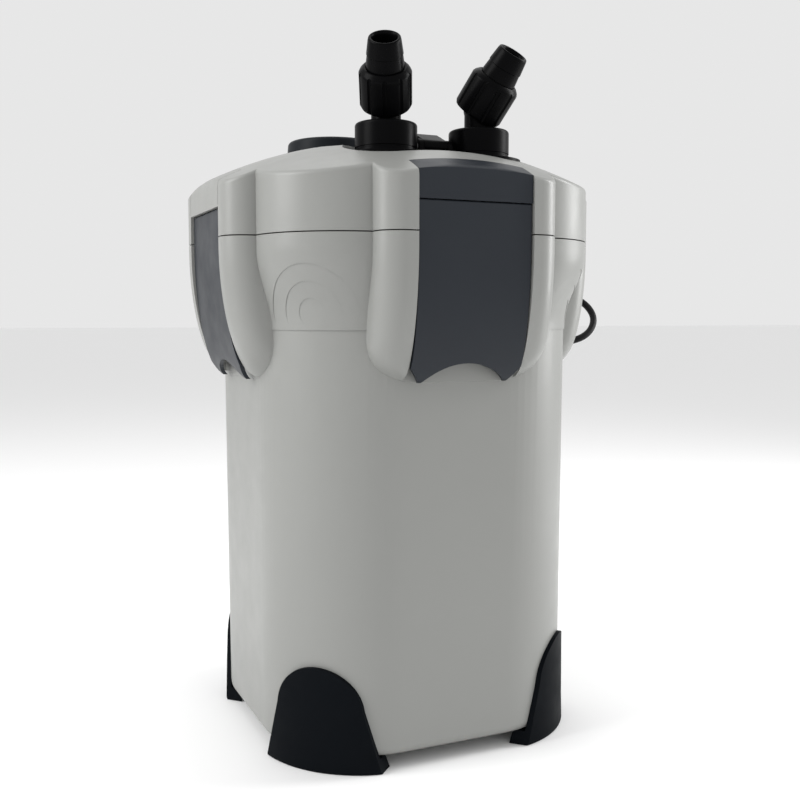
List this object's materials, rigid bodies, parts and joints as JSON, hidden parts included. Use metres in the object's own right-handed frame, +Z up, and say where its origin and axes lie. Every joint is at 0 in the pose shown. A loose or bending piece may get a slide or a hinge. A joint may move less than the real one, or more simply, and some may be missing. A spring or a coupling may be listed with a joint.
{
  "type": "canister filter",
  "caption": "Square upright aquarium canister filter with rounded corners: domed motor head clamped by bellied side latches, splayed hose taps, priming button and corner feet.",
  "frame": {"origin": "on the upright axis of the bucket, in the plane of the feet", "axes": "+Z up, -Y is the front face with the taps, +X to the right seen from the front"},
  "size_m": [0.3721, 0.345, 0.4834],
  "materials": {
    "shell": "satin moulded plastic, warm light grey",
    "latch": "satin moulded plastic, dark blue grey",
    "foot": "soft dark rubber",
    "tap": "glossy black moulded plastic",
    "button": "satin moulded plastic, dark blue grey",
    "seal": "black nitrile rubber",
    "steel": "stainless steel",
    "white_plastic": "natural moulded plastic",
    "motor": "potting resin",
    "magnet": "plastic bonded magnet",
    "ceramic": "fired ceramic",
    "basket": "dark grey moulded plastic",
    "foam": "open cell foam",
    "floss": "polyester wadding",
    "cable": "black flexible cable sheath",
    "plug": "black moulded plug"
  },
  "bodies": {
    "housing": {"bucket": "shell", "head_shell": "shell", "front_trim": "latch", "back_trim": "latch", "latch_pins": "steel", "foot_front_left": "foot", "foot_front_right": "foot", "foot_back_left": "foot", "foot_back_right": "foot", "tap_plate": "tap", "inlet_collar": "tap", "outlet_collar": "tap", "lever_pin": "steel", "primer_spring": "steel", "main_seal": "seal", "pump_deck": "white_plastic", "motor_block": "motor", "pump_shaft": "ceramic", "shaft_bushes": "seal", "impeller_cover": "white_plastic", "head_screws": "steel", "standpipe": "white_plastic", "base_grid": "basket", "basket_lower": "basket", "basket_middle": "basket", "basket_upper": "basket", "coarse_foam": "foam", "ceramic_rings": "ceramic", "fine_floss": "floss", "strain_relief": "cable", "cord_tube": "cable", "cord_coil": "cable", "cord_tail": "cable", "cord_plug": "plug", "plug_pins": "steel"},
    "latch_front": {"latch_front": "latch"},
    "latch_back": {"latch_back": "latch"},
    "latch_left": {"latch_left": "latch"},
    "latch_right": {"latch_right": "latch"},
    "inlet_elbow": {"inlet_elbow": "tap", "inlet_oring": "seal"},
    "outlet_elbow": {"outlet_elbow": "tap", "outlet_oring": "seal"},
    "inlet_nut": {"inlet_nut": "tap"},
    "outlet_nut": {"outlet_nut": "tap"},
    "tap_lever": {"tap_lever": "tap"},
    "priming_button": {"priming_button": "button"},
    "rotor": {"rotor_magnet": "magnet", "impeller": "white_plastic"}
  },
  "joints": [
    {"name": "latch_front_hinge", "type": "hinge", "parent": "housing", "child": "latch_front", "pos_m": [0, -0.131, 0.364], "axis": [-1, 0, 0], "range_deg": [0, 75]},
    {"name": "latch_back_hinge", "type": "hinge", "parent": "housing", "child": "latch_back", "pos_m": [0, 0.131, 0.364], "axis": [1, 0, 0], "range_deg": [0, 75]},
    {"name": "latch_left_hinge", "type": "hinge", "parent": "housing", "child": "latch_left", "pos_m": [-0.131, 0, 0.364], "axis": [0, 1, 0], "range_deg": [0, 75]},
    {"name": "latch_right_hinge", "type": "hinge", "parent": "housing", "child": "latch_right", "pos_m": [0.131, 0, 0.364], "axis": [0, -1, 0], "range_deg": [0, 75]},
    {"name": "inlet_swivel", "type": "hinge", "parent": "housing", "child": "inlet_elbow", "pos_m": [-0.035, -0.0755, 0.428], "axis": [0, 0, -1], "range_deg": [-25, 65]},
    {"name": "outlet_swivel", "type": "hinge", "parent": "housing", "child": "outlet_elbow", "pos_m": [0.035, -0.0755, 0.428], "axis": [0, 0, 1], "range_deg": [-25, 65]},
    {"name": "inlet_nut_turn", "type": "hinge", "parent": "inlet_elbow", "child": "inlet_nut", "pos_m": [-0.03772, -0.08133, 0.45016], "axis": [-0.2717, -0.5826, 0.766], "continuous": true},
    {"name": "outlet_nut_turn", "type": "hinge", "parent": "outlet_elbow", "child": "outlet_nut", "pos_m": [0.03772, -0.08133, 0.45016], "axis": [0.2717, -0.5826, 0.766], "continuous": true},
    {"name": "tap_lever_hinge", "type": "hinge", "parent": "housing", "child": "tap_lever", "pos_m": [0, -0.0755, 0.415], "axis": [1, 0, 0], "range_deg": [0, 55]},
    {"name": "priming_press", "type": "slide", "parent": "housing", "child": "priming_button", "axis": [0, 0, -1], "range_m": [0, 0.01], "stiffness_N_per_m": 400, "springref_m": -0.004, "deforming": ["primer_spring"]},
    {"name": "rotor_spin", "type": "hinge", "parent": "housing", "child": "rotor", "pos_m": [0.035, -0.025, 0.37], "axis": [0, 0, 1], "continuous": true}
  ]
}
